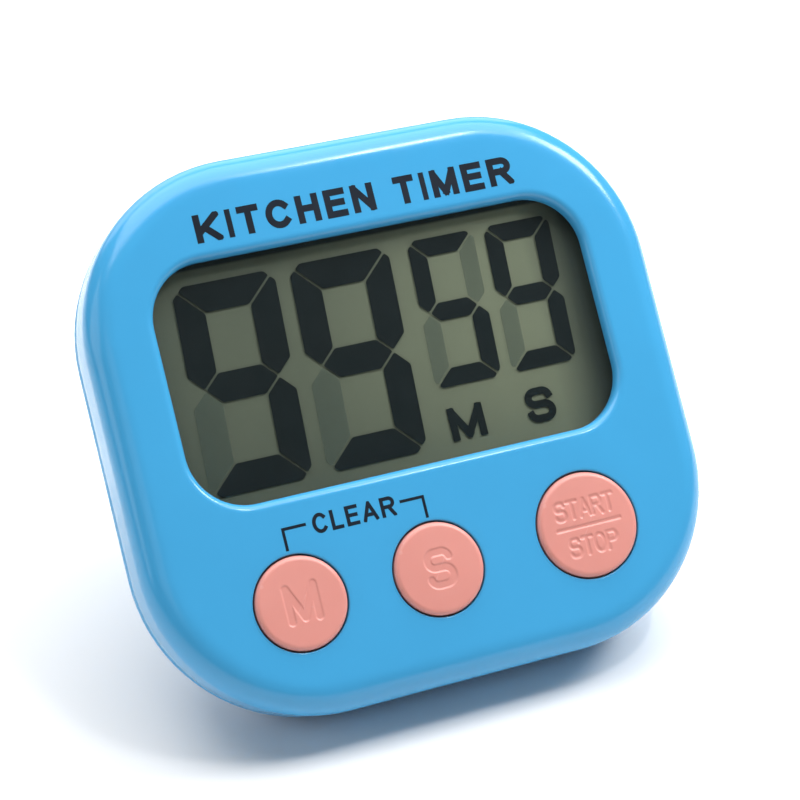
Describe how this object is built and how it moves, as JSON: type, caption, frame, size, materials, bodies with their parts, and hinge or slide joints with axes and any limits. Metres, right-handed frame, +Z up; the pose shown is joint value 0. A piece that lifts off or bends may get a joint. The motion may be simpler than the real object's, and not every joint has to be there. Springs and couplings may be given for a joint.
{
  "type": "digital kitchen timer",
  "caption": "Digital kitchen timer with rounded case, segment display, three push buttons, fold-out stand, magnets and a sliding battery door.",
  "frame": {"origin": "centre of the standing timer's box at floor level, where the rear bottom edge and the open stand rest", "axes": "+X to the right across the face, +Z up, +Y away from the viewer; the face looks along -Y and leans back 41 degrees"},
  "size_m": [0.085, 0.0616, 0.0677],
  "materials": {
    "case_blue": "glossy injection-moulded ABS",
    "button_pink": "satin moulded ABS",
    "lcd_film": "smooth polarising film",
    "lcd_glass": "clear thin glass",
    "lcd_reflector": "satin grey-green reflector film",
    "lcd_ink": "dark liquid-crystal segments",
    "white_plastic": "moulded ABS, fine texture",
    "zebra_rubber": "striped elastomer",
    "board_green": "glass-fibre board with solder mask",
    "epoxy_black": "potting resin",
    "switch_black": "moulded switch plastic",
    "steel": "nickel-plated steel",
    "brass": "thin rolled sheet",
    "piezo_white": "silvered ceramic",
    "chip_tan": "fired ceramic",
    "capacitor_sleeve": "sleeved aluminium can",
    "cell_sleeve": "shrunk plastic sleeve, unprinted",
    "wire_red": "soft insulation",
    "wire_black": "soft insulation",
    "magnet_grey": "sintered ferrite"
  },
  "bodies": {
    "case": {"front_shell": "case_blue", "rear_shell": "case_blue", "lcd_front_polariser": "lcd_film", "lcd_front_glass": "lcd_glass", "lcd_segments": "lcd_ink", "lcd_rear_glass": "lcd_glass", "lcd_reflector": "lcd_reflector", "lcd_holder": "white_plastic", "zebra_strip": "zebra_rubber", "circuit_board": "board_green", "chip_blob": "epoxy_black", "timing_crystal": "steel", "buffer_capacitor": "capacitor_sleeve", "chip_capacitors": "chip_tan", "chip_resistors": "epoxy_black", "switch_housings": "switch_black", "switch_covers": "steel", "board_screws": "steel", "case_screws": "steel", "piezo_plate": "brass", "piezo_ceramic": "piezo_white", "buzzer_wire_red": "wire_red", "buzzer_wire_black": "wire_black", "battery_can": "steel", "battery_sleeve": "cell_sleeve", "battery_tip": "steel", "battery_spring": "steel", "negative_contact": "steel", "positive_contact": "steel", "battery_wire_red": "wire_red", "battery_wire_black": "wire_black", "magnet_left": "magnet_grey", "magnet_right": "magnet_grey"},
    "m_key": {"button_m": "button_pink", "switch_plunger_m": "switch_black"},
    "s_key": {"button_s": "button_pink", "switch_plunger_s": "switch_black"},
    "start_key": {"button_start_stop": "button_pink", "switch_plunger_start": "switch_black"},
    "stand": {"kickstand": "case_blue"},
    "door": {"battery_door": "case_blue"}
  },
  "joints": [
    {"name": "m_press", "type": "slide", "parent": "case", "child": "m_key", "axis": [0, 0.7547, -0.6561], "range_m": [0, 0.0006], "stiffness_N_per_m": 1500, "springref_m": -0.0003},
    {"name": "s_press", "type": "slide", "parent": "case", "child": "s_key", "axis": [0, 0.7547, -0.6561], "range_m": [0, 0.0006], "stiffness_N_per_m": 1500, "springref_m": -0.0003},
    {"name": "start_press", "type": "slide", "parent": "case", "child": "start_key", "axis": [0, 0.7547, -0.6561], "range_m": [0, 0.0006], "stiffness_N_per_m": 1500, "springref_m": -0.0003},
    {"name": "stand_fold", "type": "hinge", "parent": "case", "child": "stand", "pos_m": [0, 0.0086, 0.03023], "axis": [1, 0, 0], "range_deg": [-61.97, 0]},
    {"name": "door_slide", "type": "slide", "parent": "case", "child": "door", "axis": [0, 0.6561, 0.7547], "range_m": [0, 0.024]}
  ]
}
